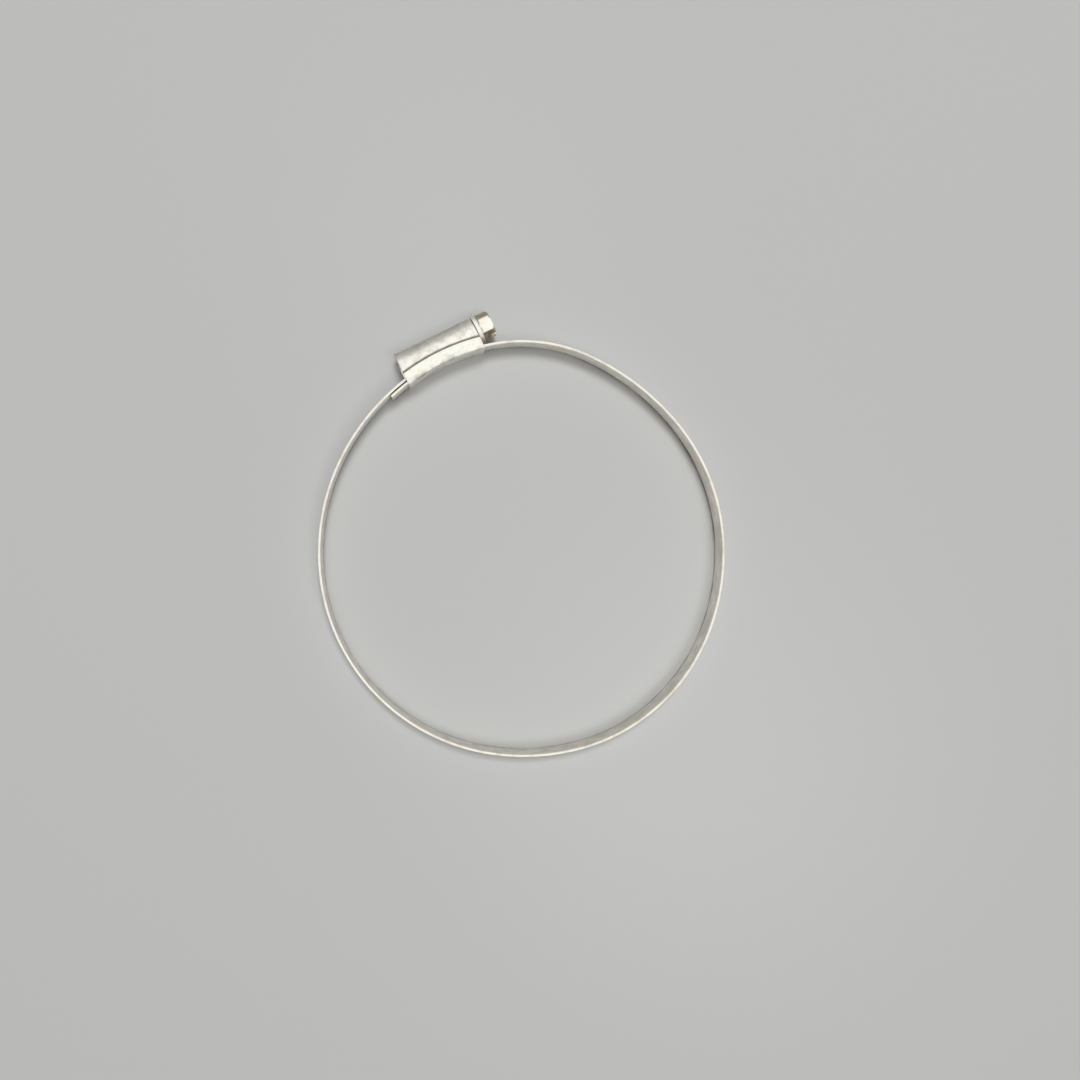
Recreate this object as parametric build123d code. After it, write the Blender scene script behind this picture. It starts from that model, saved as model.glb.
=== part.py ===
from build123d import *
import os
from math import atan2, degrees, floor, pi, radians, sqrt

# Worm-drive hose clamp, opened to its widest. A steel band is closed into a loop by a worm
# screw, which turns in a housing made of a dome and a saddle. The origin is the centre of
# the hose and the middle of the band's width, +Z runs along the hose, and the worm's axis
# is parallel to +X, above the loop on the +Y side. All sizes are in millimetres.

# Hose and band
bore_radius = 59.35  # the hose that the two sides of the loop fit
band_width = 9.0
band_thickness = 0.8
band_edge_radius = 0.2
tongue_length = 6.0  # the fixed end, from the housing to its tip
free_end_reach = 9.9  # the free end's tip, past the housing's middle

# Shape of the open loop, in degrees about the hose's centre
right_side = (14.6, -23.7)
left_side = (234.1, 161.4)
far_angle = -76.5
far_rise = 1.0  # how far the loop stands off the hose circle there

# Housing
housing_length = 24.6
housing_offset = 3.9  # from the hose's centre to the housing's middle, along X
dome_thickness = 0.8
saddle_thickness = 0.6
flank_height = 3.65  # the saddle's folded flanks, from its inner face
saddle_bend_radius = 0.9  # outside the fold between its floor and its flanks
hem_radius = 0.2  # rounding of the dome's open edges

# Worm screw
worm_radius = 3.1
worm_tip_inset = 0.8  # its tip stands this far inside the housing's open end
thread_depth = 0.75
thread_pitch = 3.0
thread_root_width = 1.5
thread_crest_width = 0.75
thread_engagement = 0.34  # how far the thread reaches into the band
thread_lead_in = 0.9  # plain length between the tip and the thread, at least
thread_runout = 1.5  # and between the thread and the end wall
journal_radius = 2.2
collar_radius = 4.7
collar_thickness = 1.3
hex_across_flats = 7.0
hex_length = 3.9
slot_width = 1.2
slot_depth = 1.6
slot_angle = -18
tip_chamfer = 0.5
collar_chamfer = 0.25
crown_chamfer = (0.4, 0.45)  # along the head and across it

# Thread pressed into the band
groove_length = 5.6
grooves_behind = 19  # from the housing's middle, away from the free end's tip
tip_margin = 2.0  # plain length at the free end's tip

# Clearances
corner_clearance = 0.05  # between the hose and the saddle's nearer end
layer_gap = 0.3  # between the fixed and the free layer of the band
seat_gap = 0.04  # between sheets that lie on each other
band_side_gap = 0.25
worm_top_gap = 0.1
groove_floor_gap = 0.11
groove_side_gap = 0.33
journal_gap = 0.05
collar_gap = 0.25
passage_gap = 0.3  # over the free layer, under the dome's end wall

# Places that follow from the sizes above
half_band = band_thickness / 2
half_width = band_width / 2
half_length = housing_length / 2
left_end = housing_offset - half_length

# The saddle has the hose's own curve, lifted until its nearer end clears the hose.
saddle_radius = bore_radius
saddle_corner_y = sqrt((bore_radius + corner_clearance) ** 2 - left_end**2)
saddle_centre_y = saddle_corner_y - sqrt(saddle_radius**2 - half_length**2)
saddle_centre = Vector(housing_offset, saddle_centre_y)
saddle_back = saddle_radius + saddle_thickness
flank_radius = saddle_radius + flank_height

fixed_layer = saddle_back + seat_gap + half_band
free_layer = fixed_layer + band_thickness + layer_gap
free_back = free_layer + half_band

worm_y = saddle_centre_y + free_back - thread_engagement + worm_radius
dome_crest = worm_y + worm_radius + worm_top_gap + dome_thickness
dome_inner = half_width + band_side_gap
dome_outer = dome_inner + dome_thickness
saddle_outer = dome_outer + seat_gap + saddle_thickness

# Along the worm, from the housing's middle: a ridge faces the band at the middle.
root_radius = worm_radius - thread_depth
wall_inside = half_length - dome_thickness
worm_tip = worm_tip_inset - half_length
turns_before_middle = floor(-(worm_tip + thread_lead_in) / thread_pitch - 0.5)
thread_start = -thread_pitch * (turns_before_middle + 0.5)
thread_turns = floor(2 * (wall_inside - thread_runout - thread_start) / thread_pitch) / 2

# The groove is a rounded bar's print, wide enough for the ridge where it enters the band.
ridge_taper = (thread_root_width - thread_crest_width) / thread_depth
groove_depth = thread_engagement + groove_floor_gap
groove_width = thread_crest_width + ridge_taper * thread_engagement + 2 * groove_side_gap
groove_bar_radius = (groove_width**2 / 4 + groove_depth**2) / (2 * groove_depth)
grooves_ahead = floor((free_end_reach - tip_margin) / thread_pitch)

# Across the housing: first axis towards +Y, second towards +Z, normal along the worm.
across = Plane(origin=(0, 0, 0), x_dir=(0, 1, 0), z_dir=(1, 0, 0))


def on_circle(centre, radius, angle):
    """A point of the loop and its heading, which runs clockwise about the centre."""
    outward = Vector(1, 0).rotate(Axis.Z, angle)
    return centre + outward * radius, outward.rotate(Axis.Z, -90)


def joint_between(start, end):
    """Where two arcs of a smooth bend meet, between two points with their headings."""
    (first, heading), (last, last_heading) = start, end
    span = last - first
    both = heading + last_heading
    spread = 2 * (1 - heading.dot(last_heading))
    along = span.dot(both)
    reach = (sqrt(along**2 + spread * span.dot(span)) - along) / spread
    middle = (first + last + (heading - last_heading) * reach) / 2
    chord = (middle - first).normalized()
    return middle, chord * (2 * chord.dot(heading)) - heading


def loop_stations():
    """The band's middle line: points with headings, from the tongue to the free tip."""
    hose = Vector(0, 0)
    side = bore_radius + half_band
    tongue_tip = half_length + tongue_length
    fixed_in = on_circle(saddle_centre, fixed_layer, 90 + angle_over(tongue_tip, fixed_layer))
    fixed_out = on_circle(saddle_centre, fixed_layer, 90 - angle_over(half_length, fixed_layer))
    right_start, right_stop = [on_circle(hose, side, angle) for angle in right_side]
    far = on_circle(hose, side + far_rise, far_angle)
    left_start, left_stop = [on_circle(hose, side, angle) for angle in left_side]
    free_in = on_circle(saddle_centre, free_layer, 90 + angle_over(half_length, free_layer))
    free_tip = on_circle(saddle_centre, free_layer, 90 - angle_over(free_end_reach, free_layer))
    return [
        fixed_in,
        fixed_out,
        joint_between(fixed_out, right_start),
        right_start,
        right_stop,
        joint_between(right_stop, far),
        far,
        joint_between(far, left_start),
        left_start,
        left_stop,
        joint_between(left_stop, free_in),
        free_in,
        free_tip,
    ]


def angle_over(run, radius):
    """The turn in degrees that covers a sideways run from the top of a circle."""
    return degrees(atan2(run, sqrt(radius**2 - run**2)))


def loop_line(offset):
    """The band's middle line moved outwards by an offset, as edges."""
    moved = [(at + aim.rotate(Axis.Z, 90) * offset, aim) for at, aim in loop_stations()]
    pairs = zip(moved, moved[1:])
    return [TangentArc(at, following, tangent=aim) for (at, aim), (following, _) in pairs]


def groove_cutters():
    """Rounded bars that press the thread into the outer face, slanted as the worm is."""
    outer = Wire(loop_line(half_band))
    tip_length = outer.length
    middle_length = tip_length - free_back * radians(angle_over(free_end_reach, free_layer))
    slant = degrees(atan2(thread_pitch, 2 * pi * (worm_radius - thread_engagement / 2)))
    bar_length = groove_length - groove_width
    cutters = []
    for count in range(-grooves_behind, grooves_ahead + 1):
        share = (middle_length + count * thread_pitch) / tip_length
        heading = outer.tangent_at(share)
        outward = heading.rotate(Axis.Z, 90)
        centre = outer.position_at(share) + outward * (groove_bar_radius - groove_depth)
        lie = Plane(origin=centre, x_dir=heading, z_dir=(0, 0, 1))
        bar = Cylinder(groove_bar_radius, bar_length)
        for end in (-1, 1):
            bar += Pos(0, 0, end * bar_length / 2) * Sphere(groove_bar_radius)
        cutters.append(lie.location * Rot(0, -slant, 0) * bar)
    return cutters


def make_band():
    """One strip: the tongue, the loop and the free end with its pressed thread."""
    outer = loop_line(half_band)
    inner = loop_line(-half_band)
    tongue_end = Line(inner[0] @ 0, outer[0] @ 0)
    tip_end = Line(outer[-1] @ 1, inner[-1] @ 1)
    outline = make_face(Wire([*outer, tip_end, *inner, tongue_end]))
    strip = Pos(0, 0, -half_width) * extrude(outline, band_width, dir=(0, 0, 1))
    along_or_across = strip.edges().filter_by(Axis.Z, reverse=True)
    rims = [edge for edge in along_or_across if edge.length > 2 * band_thickness]
    strip = fillet(rims, band_edge_radius)
    return strip - groove_cutters()


def arch(half, crest, foot):
    """Cross-section of a tunnel: straight sides under a half-round top."""
    spring = crest - half
    sides = Pos((foot + spring) / 2, 0) * Rectangle(spring - foot, 2 * half)
    return sides + Pos(spring, 0) * Circle(half)


def make_housing():
    """The housing's dome: a half-round tunnel over the worm, with a wall behind the collar."""
    foot = saddle_centre_y + saddle_radius / 2
    shell = extrude(across * arch(dome_outer, dome_crest, foot), housing_length)
    shell = Pos(left_end, 0, 0) * shell
    rims = shell.faces().filter_by(Axis.X).edges().filter_by(Axis.Z, reverse=True)
    shell = fillet(rims, hem_radius)

    tunnel = arch(dome_inner, dome_crest - dome_thickness, foot)
    shell -= Pos(left_end, 0, 0) * extrude(across * tunnel, housing_length - dome_thickness)

    # the journal's hole is open downwards, so that the screw goes in from below
    hole = journal_radius + journal_gap
    hole_shape = Pos(worm_y, 0) * Circle(hole)
    hole_shape += Pos((foot + worm_y) / 2, 0) * Rectangle(worm_y - foot, 2 * hole)
    shell -= Pos(left_end, 0, 0) * extrude(across * hole_shape, housing_length)

    # the feet end where the saddle's folds begin, and the free layer passes under the end wall
    fold_radius = saddle_bend_radius - saddle_thickness
    below_feet = Cylinder(saddle_back + fold_radius + seat_gap, 4 * dome_outer)
    passage = Cylinder(free_back + passage_gap, 2 * dome_inner)
    return shell - [Pos(saddle_centre) * below_feet, Pos(saddle_centre) * passage]


def make_saddle():
    """The curved channel under the band, with its flanks folded up outside the dome."""
    across_radius = Plane(origin=saddle_centre, x_dir=(0, 1, 0), z_dir=(1, 0, 0))
    block = Rectangle(flank_height, 2 * saddle_outer)
    bends = block.vertices().sort_by(Axis.X)[:2]
    block = fillet(bends, saddle_bend_radius)
    hollow = Rectangle(flank_height, 2 * (saddle_outer - saddle_thickness))
    inside = hollow.vertices().sort_by(Axis.X)[:2]
    hollow = fillet(inside, saddle_bend_radius - saddle_thickness)
    channel = block - Pos(saddle_thickness, 0) * hollow
    section = across_radius * Pos(saddle_radius + flank_height / 2, 0) * channel
    turn = 3 * angle_over(half_length, saddle_radius)  # past both ends, then trimmed
    axis = Axis(saddle_centre, (0, 0, 1))
    ring = revolve(section.rotate(axis, -turn / 2), axis, turn)
    trim_height = flank_radius + housing_length
    trim = Pos(housing_offset, trim_height / 2, 0) * Box(housing_length, trim_height, band_width * 3)
    return ring & trim


def make_thread():
    """The worm's helical ridge, along +Z from the origin."""
    sunk = 0.2  # into the core, so that the ridge grows out of it
    root, crest = thread_root_width / 2, thread_crest_width / 2
    ridge_path = Helix(thread_pitch, thread_pitch * thread_turns, root_radius)
    start = Plane(origin=ridge_path @ 0, x_dir=(1, 0, 0), z_dir=ridge_path % 0)
    outline = Polyline(
        (-sunk, -root), (0, -root), (thread_depth, -crest),
        (thread_depth, crest), (0, root), (-sunk, root), close=True,
    )
    return sweep(start * make_face(outline), ridge_path, is_frenet=True)


def make_worm_screw():
    """Worm, journal, collar and hexagon head with its screwdriver slot, turned as one."""
    shoulder = wall_inside - collar_gap
    collar_back = half_length + collar_gap
    collar_front = collar_back + collar_thickness

    def bar(radius, start, stop):
        return Pos(0, 0, (start + stop) / 2) * Cylinder(radius, stop - start)

    core = bar(root_radius, worm_tip, shoulder)
    core = chamfer(core.edges().sort_by(Axis.Z)[0], tip_chamfer)
    screw = core + bar(journal_radius, shoulder, collar_back)
    collar = bar(collar_radius, collar_back, collar_front)
    screw += chamfer(collar.edges().group_by(Axis.Z)[-1], collar_chamfer)
    screw += Pos(0, 0, thread_start) * make_thread()

    hexagon = RegularPolygon(hex_across_flats / 2, 6, major_radius=False)
    head = extrude(Pos(0, 0, collar_front) * hexagon, hex_length)
    corner_radius = hex_across_flats / sqrt(3)
    crown = bar(corner_radius, collar_front, collar_front + hex_length)
    crown = chamfer(crown.edges().group_by(Axis.Z)[-1], *crown_chamfer)
    screw += head & crown
    slot_centre = collar_front + hex_length - slot_depth / 2
    slot = Box(hex_across_flats * 2, slot_width, slot_depth)
    screw -= Pos(0, 0, slot_centre) * Rot(0, 0, slot_angle) * slot

    middle = Plane(origin=(housing_offset, worm_y, 0), x_dir=(0, 1, 0), z_dir=(1, 0, 0))
    return middle.location * screw


pieces = {
    "band": make_band,
    "housing": make_housing,
    "saddle": make_saddle,
    "worm_screw": make_worm_screw,
}

os.makedirs("parts", exist_ok=True)
for name, make in pieces.items():
    export_step(make(), f"parts/{name}.step")
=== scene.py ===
import math

import bmesh
import bpy
from mathutils import Matrix, Vector


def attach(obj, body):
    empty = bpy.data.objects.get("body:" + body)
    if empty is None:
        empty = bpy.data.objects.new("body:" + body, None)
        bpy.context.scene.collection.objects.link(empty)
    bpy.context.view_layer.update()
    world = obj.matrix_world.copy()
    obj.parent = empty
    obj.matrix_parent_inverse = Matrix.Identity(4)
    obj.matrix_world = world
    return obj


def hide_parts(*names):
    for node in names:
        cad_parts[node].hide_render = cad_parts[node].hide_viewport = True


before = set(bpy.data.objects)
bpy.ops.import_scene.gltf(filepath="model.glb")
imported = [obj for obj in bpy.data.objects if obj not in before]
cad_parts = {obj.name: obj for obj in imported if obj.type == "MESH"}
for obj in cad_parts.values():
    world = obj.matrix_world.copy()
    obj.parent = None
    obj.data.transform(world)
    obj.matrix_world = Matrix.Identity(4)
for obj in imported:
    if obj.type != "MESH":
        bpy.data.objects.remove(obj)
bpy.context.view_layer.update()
scene = bpy.context.scene
mm = 0.001
print("frame loaded:", ", ".join(sorted(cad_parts)))

# Worm-drive hose clamp, opened to its widest. The hose runs along Z through the origin, the
# worm lies along X above the loop, and the screw's head is at its +X end.

clampPlan = dict(
    boreRadius=59.35 * mm,      # the hose circle
    bandWidth=9.0 * mm,
    bandThickness=0.8 * mm,
    housingLength=24.6 * mm,
    housingOffset=3.9 * mm,     # its middle, along X
    saddleThickness=0.6 * mm,
    flankHeight=3.65 * mm,      # of the saddle, from its inner face
    cornerClearance=0.05 * mm,  # between the hose and the saddle's nearer end
    seatGap=0.04 * mm,
    layerGap=0.3 * mm,          # between the band's fixed and free layers
    wormRadius=3.1 * mm,
    threadPitch=3.0 * mm,
    threadEngagement=0.34 * mm,
)


def followPlan(plan):
    # places that several pieces share, worked out from the sizes above
    plan["halfLength"] = plan["housingLength"] / 2
    plan["rearEnd"] = plan["housingOffset"] - plan["halfLength"]
    plan["frontEnd"] = plan["housingOffset"] + plan["halfLength"]
    bore = plan["boreRadius"]
    corner = math.sqrt((bore + plan["cornerClearance"]) ** 2 - plan["rearEnd"] ** 2)
    lift = corner - math.sqrt(bore**2 - plan["halfLength"] ** 2)
    plan["saddleCentre"] = Vector((plan["housingOffset"], lift))
    plan["saddleBack"] = bore + plan["saddleThickness"]
    plan["flankTop"] = bore + plan["flankHeight"]
    plan["fixedLayer"] = plan["saddleBack"] + plan["seatGap"] + plan["bandThickness"] / 2
    plan["freeLayer"] = plan["fixedLayer"] + plan["bandThickness"] + plan["layerGap"]
    plan["freeBack"] = plan["freeLayer"] + plan["bandThickness"] / 2
    plan["wormHeight"] = lift + plan["freeBack"] - plan["threadEngagement"] + plan["wormRadius"]


followPlan(clampPlan)


def putNode(tree, kind, **settings):
    node = tree.nodes.new(kind)
    for name, value in settings.items():
        setattr(node, name, value)
    return node


def isSocket(value):
    return isinstance(value, bpy.types.NodeSocket)


def feed(socket, value):
    # a socket is linked, anything else is set on the input itself
    if isSocket(value):
        socket.id_data.links.new(value, socket)
    else:
        socket.default_value = value


def reckon(operation, *values):
    # a socket's id_data is its tree, and at least one of the values is a socket
    tree = next(value.id_data for value in values if isSocket(value))
    node = putNode(tree, "ShaderNodeMath", operation=operation)
    for socket, value in zip(node.inputs, values):
        feed(socket, value)
    return node.outputs[0]


def plus(first, second):
    return reckon("ADD", first, second)


def minus(first, second):
    return reckon("SUBTRACT", first, second)


def times(first, second):
    return reckon("MULTIPLY", first, second)


def larger(first, second):
    return reckon("MAXIMUM", first, second)


def smaller(first, second):
    return reckon("MINIMUM", first, second)


def squares(first, second):
    # the sum of two squares
    return plus(times(first, first), times(second, second))


def axes(vector):
    node = putNode(vector.id_data, "ShaderNodeSeparateXYZ")
    feed(node.inputs[0], vector)
    return node.outputs


def newTree(name, inputs):
    # a Geometry Nodes tree with a named socket for each size
    tree = bpy.data.node_groups.new(name, "GeometryNodeTree")
    tree.interface.new_socket("Geometry", in_out="INPUT", socket_type="NodeSocketGeometry")
    for label, kind in inputs.items():
        tree.interface.new_socket(label, in_out="INPUT", socket_type="NodeSocket" + kind)
    tree.interface.new_socket("Geometry", in_out="OUTPUT", socket_type="NodeSocketGeometry")
    start = putNode(tree, "NodeGroupInput")
    return tree, {socket.name: socket for socket in start.outputs if socket.name}


def endTree(geometry, material):
    tree = geometry.id_data
    real = putNode(tree, "GeometryNodeRealizeInstances")
    dress = putNode(tree, "GeometryNodeSetMaterial")
    end = putNode(tree, "NodeGroupOutput")
    feed(real.inputs["Geometry"], geometry)
    feed(dress.inputs["Geometry"], real.outputs["Geometry"])
    feed(dress.inputs["Material"], material)
    feed(end.inputs["Geometry"], dress.outputs["Geometry"])


def sweepSection(curve, section):
    # carries an outline object along a curve, and closes both ends
    tree = curve.id_data
    held = putNode(tree, "GeometryNodeObjectInfo")
    feed(held.inputs["Object"], section)
    outline = putNode(tree, "GeometryNodeMeshToCurve")
    feed(outline.inputs[0], held.outputs["Geometry"])
    sweep = putNode(tree, "GeometryNodeCurveToMesh")
    feed(sweep.inputs["Curve"], curve)
    feed(sweep.inputs["Profile Curve"], outline.outputs[0])
    sweep.inputs["Fill Caps"].default_value = True
    return sweep


def nameField(geometry, label, value, kind="FLOAT"):
    # keeps a value under a name on every point
    node = putNode(geometry.id_data, "GeometryNodeStoreNamedAttribute", data_type=kind,
                   domain="POINT")
    feed(node.inputs["Geometry"], geometry)
    node.inputs["Name"].default_value = label
    feed(node.inputs["Value"], value)
    return node.outputs["Geometry"]


def field(tree, label, kind="FLOAT"):
    # reads such a value back
    node = putNode(tree, "GeometryNodeInputNamedAttribute", data_type=kind)
    node.inputs["Name"].default_value = label
    return node.outputs["Attribute"]


def newObject(name, mesh):
    obj = bpy.data.objects.new(name, mesh)
    scene.collection.objects.link(obj)
    return obj


def lineMesh(name, points, closed=False):
    mesh = bpy.data.meshes.new(name)
    edges = [(count, count + 1) for count in range(len(points) - 1)]
    if closed:
        edges.append((len(points) - 1, 0))
    mesh.from_pydata(points, edges, [])
    return mesh


def appliedMesh(obj):
    # what the modifiers make, as a plain mesh, with the modifiers gone again
    evaluated = obj.evaluated_get(bpy.context.evaluated_depsgraph_get())
    mesh = bpy.data.meshes.new_from_object(evaluated)
    obj.modifiers.clear()
    obj.data = mesh
    return mesh


def runTree(obj, tree, values):
    modifier = obj.modifiers.new(tree.name, "NODES")
    modifier.node_group = tree
    for socket in tree.interface.items_tree:
        if socket.in_out == "INPUT" and socket.name in values:
            modifier[socket.identifier] = values[socket.name]
    return appliedMesh(obj)


def reworked(mesh, change):
    # lets change edit the mesh's faces and edges
    work = bmesh.new()
    work.from_mesh(mesh)
    change(work)
    work.to_mesh(mesh)
    work.free()


def finishMesh(mesh, sharpOver=35):
    # faces outwards and smooth, with the creases sharper than so many degrees kept
    reworked(mesh, lambda work: bmesh.ops.recalc_face_normals(work, faces=work.faces))
    mesh.shade_smooth()
    mesh.set_sharp_from_angle(angle=math.radians(sharpOver))


def roundedLoop(corners, steps):
    # a closed outline from (x, y, rounding) corners
    loop = []
    for count, (x, y, radius) in enumerate(corners):
        corner = Vector((x, y))
        back = (Vector(corners[count - 1][:2]) - corner).normalized()
        on = (Vector(corners[(count + 1) % len(corners)][:2]) - corner).normalized()
        if not radius:
            loop.append(corner)
            continue
        halfAngle = back.angle(on) / 2
        start = back * (radius / math.tan(halfAngle))
        middle = (back + on).normalized() * (radius / math.sin(halfAngle))
        ray = start - middle
        turn = math.pi - 2 * halfAngle
        if back.x * on.y - back.y * on.x > 0:
            turn = -turn
        for step in range(steps + 1):
            loop.append(corner + middle + Matrix.Rotation(turn * step / steps, 2) @ ray)
    return loop


def splitLong(loop, longest):
    # adds points to an outline so that no side is longer than this
    slack = 0.001       # rounding never splits a side once more than it needs
    points = []
    for count, start in enumerate(loop):
        side = loop[(count + 1) % len(loop)] - start
        parts = math.ceil(side.length / longest - slack)
        points += [start + side * part / parts for part in range(parts)]
    return points


def skinLoops(name, loops):
    # a closed body from a row of equal loops, with a face over each end
    mesh = bpy.data.meshes.new(name)
    around = len(loops[0])
    faces = []
    for row in range(len(loops) - 1):
        for count in range(around):
            on = (count + 1) % around
            low, high = row * around, (row + 1) * around
            faces.append((low + count, low + on, high + on, high + count))
    faces.append(tuple(reversed(range(around))))
    faces.append(tuple(range((len(loops) - 1) * around, len(loops) * around)))
    mesh.from_pydata([point for loop in loops for point in loop], [], faces)
    return mesh


bandShape = dict(
    tongueLength=6.0 * mm,      # the fixed end, from the housing to its tip
    freeEndReach=9.9 * mm,      # the free end's tip, past the housing's middle
    rightSide=(14.6, -23.7),    # where the open loop lies on the hose circle, in degrees
    leftSide=(234.1, 161.4),
    farAngle=-76.5,
    farRise=1.0 * mm,           # how far the loop stands off the hose circle there
    edgeRadius=0.2 * mm,
    endBevel=0.06 * mm,
    grooveLength=5.6 * mm,      # of the thread pressed into the free end
    grooveWidth=1.75 * mm,
    grooveDepth=0.45 * mm,
    grooveShoulder=0.14 * mm,   # rounding where a groove leaves the face
    groovesBehind=19,           # on each side of the housing's middle
    groovesAhead=2,
    plainStep=1.0 * mm,         # between the mesh's rows
    threadStep=0.15 * mm,
    outerRows=40,               # across the face with the thread
    innerRows=6,
    cornerRows=4,
)


def onCircle(centre, radius, angle):
    # a point of the loop and its heading, which runs clockwise
    turn = math.radians(angle)
    outward = Vector((math.cos(turn), math.sin(turn)))
    return centre + outward * radius, Vector((outward.y, -outward.x))


def turnOver(run, radius):
    # the angle of an arc that goes this far to one side
    return math.degrees(math.asin(run / radius))


def jointBetween(start, stop):
    # where the two arcs of a smooth bend meet
    (first, heading), (last, lastHeading) = start, stop
    span = last - first
    spread = 2 * (1 - heading.dot(lastHeading))
    along = span.dot(heading + lastHeading)
    reach = (math.sqrt(along**2 + spread * span.dot(span)) - along) / spread
    middle = (first + last + (heading - lastHeading) * reach) / 2
    chord = (middle - first).normalized()
    return middle, chord * (2 * chord.dot(heading)) - heading


def loopStations():
    # the band's middle line, from the tongue round to the free tip
    plan, shape = clampPlan, bandShape
    hose, seat = Vector((0, 0)), plan["saddleCentre"]
    fixed, free = plan["fixedLayer"], plan["freeLayer"]
    side = plan["boreRadius"] + plan["bandThickness"] / 2
    half = plan["halfLength"]
    fixedIn = onCircle(seat, fixed, 90 + turnOver(half + shape["tongueLength"], fixed))
    fixedOut = onCircle(seat, fixed, 90 - turnOver(half, fixed))
    rightStart, rightStop = [onCircle(hose, side, angle) for angle in shape["rightSide"]]
    far = onCircle(hose, side + shape["farRise"], shape["farAngle"])
    leftStart, leftStop = [onCircle(hose, side, angle) for angle in shape["leftSide"]]
    freeIn = onCircle(seat, free, 90 + turnOver(half, free))
    freeTip = onCircle(seat, free, 90 - turnOver(shape["freeEndReach"], free))
    return [
        fixedIn, fixedOut, jointBetween(fixedOut, rightStart), rightStart, rightStop,
        jointBetween(rightStop, far), far, jointBetween(far, leftStart), leftStart, leftStop,
        jointBetween(leftStop, freeIn), freeIn, freeTip,
    ]


def outerArcs():
    # the loop's outer face, arc by arc
    lift = clampPlan["bandThickness"] / 2
    ends = [(at + Vector((-aim.y, aim.x)) * lift, aim) for at, aim in loopStations()]
    arcs = []
    for (start, heading), (stop, _) in zip(ends, ends[1:]):
        chord = stop - start
        cross = heading.x * chord.y - heading.y * chord.x
        halfTurn = math.atan2(cross, heading.dot(chord))
        length = chord.length * halfTurn / math.sin(halfTurn)
        arcs.append(dict(start=start, heading=heading, chord=chord.length,
                         halfTurn=halfTurn, length=length))
    return arcs


def onArc(arc, share):
    part = arc["halfTurn"] * share
    aim = Matrix.Rotation(part, 2) @ arc["heading"]
    return arc["start"] + aim * (arc["chord"] * math.sin(part) / math.sin(arc["halfTurn"]))


def loopPoints(arcs, threadFrom):
    # rows lie closer together where the thread is pressed in
    points, travelled = [], 0
    for arc in arcs:
        length = arc["length"]
        fine = max(0, min(length, travelled + length - threadFrom))
        plainCount = math.ceil((length - fine) / bandShape["plainStep"])
        fineCount = math.ceil(fine / bandShape["threadStep"])
        spots = [(length - fine) * count / plainCount for count in range(plainCount)]
        spots += [length - fine + fine * count / fineCount for count in range(fineCount)]
        points += [onArc(arc, spot / length) for spot in spots]
        travelled += length
    points.append(onArc(arcs[-1], 1))
    return [point.to_3d() for point in points]


def stripSection():
    # x runs inwards from the outer face, y across the width; rim marks the rounded edges
    shape, thick, radius = bandShape, clampPlan["bandThickness"], bandShape["edgeRadius"]
    flat = clampPlan["bandWidth"] / 2 - radius
    corners = [(radius, flat, 180, None), (thick - radius, flat, 90, "inner"),
               (thick - radius, -flat, 0, None), (radius, -flat, -90, "outer")]
    points, rim, pressed = [], [], []

    def add(x, y, isRim, isPressed):
        points.append((x, y, 0))
        rim.append(isRim)
        pressed.append(isPressed)

    for x, y, start, following in corners:
        for row in range(shape["cornerRows"] + 1):
            turn = math.radians(start - 90 * row / shape["cornerRows"])
            add(x + radius * math.cos(turn), y + radius * math.sin(turn), 1, 0)
        rows = {"inner": shape["innerRows"], "outer": shape["outerRows"]}.get(following, 1)
        for row in range(1, rows):
            across = flat * (2 * row / rows - 1)
            if following == "inner":
                add(thick, -across, 0, 0)
            else:
                add(0, across, 0, 1)
    mesh = lineMesh("strip section", points, closed=True)
    inset = [point[0] for point in points]
    for label, values in (("rim", rim), ("pressed", pressed), ("inset", inset)):
        mesh.attributes.new(label, "FLOAT", "POINT").data.foreach_set("value", values)
    return newObject("strip section", mesh)


def fromGroove(tree, given):
    # squared distance from the middle line of the nearest groove
    across = axes(putNode(tree, "GeometryNodeInputPosition").outputs[0])["Z"]
    sine = reckon("SINE", given["Slant"])
    cosine = reckon("COSINE", given["Slant"])
    run = minus(field(tree, "along"), given["Middle"])
    drift = times(across, reckon("TANGENT", given["Slant"]))
    nearest = reckon("DIVIDE", plus(run, drift), given["Pitch"])
    nearest = smaller(reckon("ROUND", nearest), given["Ahead"])
    nearest = larger(nearest, times(given["Behind"], -1.0))
    off = minus(run, times(nearest, given["Pitch"]))
    beside = plus(times(off, cosine), times(across, sine))
    lengthwise = minus(times(across, cosine), times(off, sine))
    straight = times(minus(given["Groove length"], given["Groove width"]), 0.5)
    past = larger(minus(reckon("ABSOLUTE", lengthwise), straight), 0.0)
    return squares(beside, past)


def grooveDip(tree, given):
    # the print of a rounded bar: its radius from the groove's width and depth
    depth = given["Groove depth"]
    top = squares(times(given["Groove width"], 0.5), depth)
    bar = reckon("DIVIDE", top, times(depth, 2.0))
    inside = minus(times(bar, bar), fromGroove(tree, given))
    chord = reckon("SQRT", larger(inside, 0.0))
    dip = plus(minus(chord, bar), depth)
    dip = reckon("SMOOTH_MAX", dip, 0.0, given["Shoulder"])
    return times(dip, field(tree, "pressed"))


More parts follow.
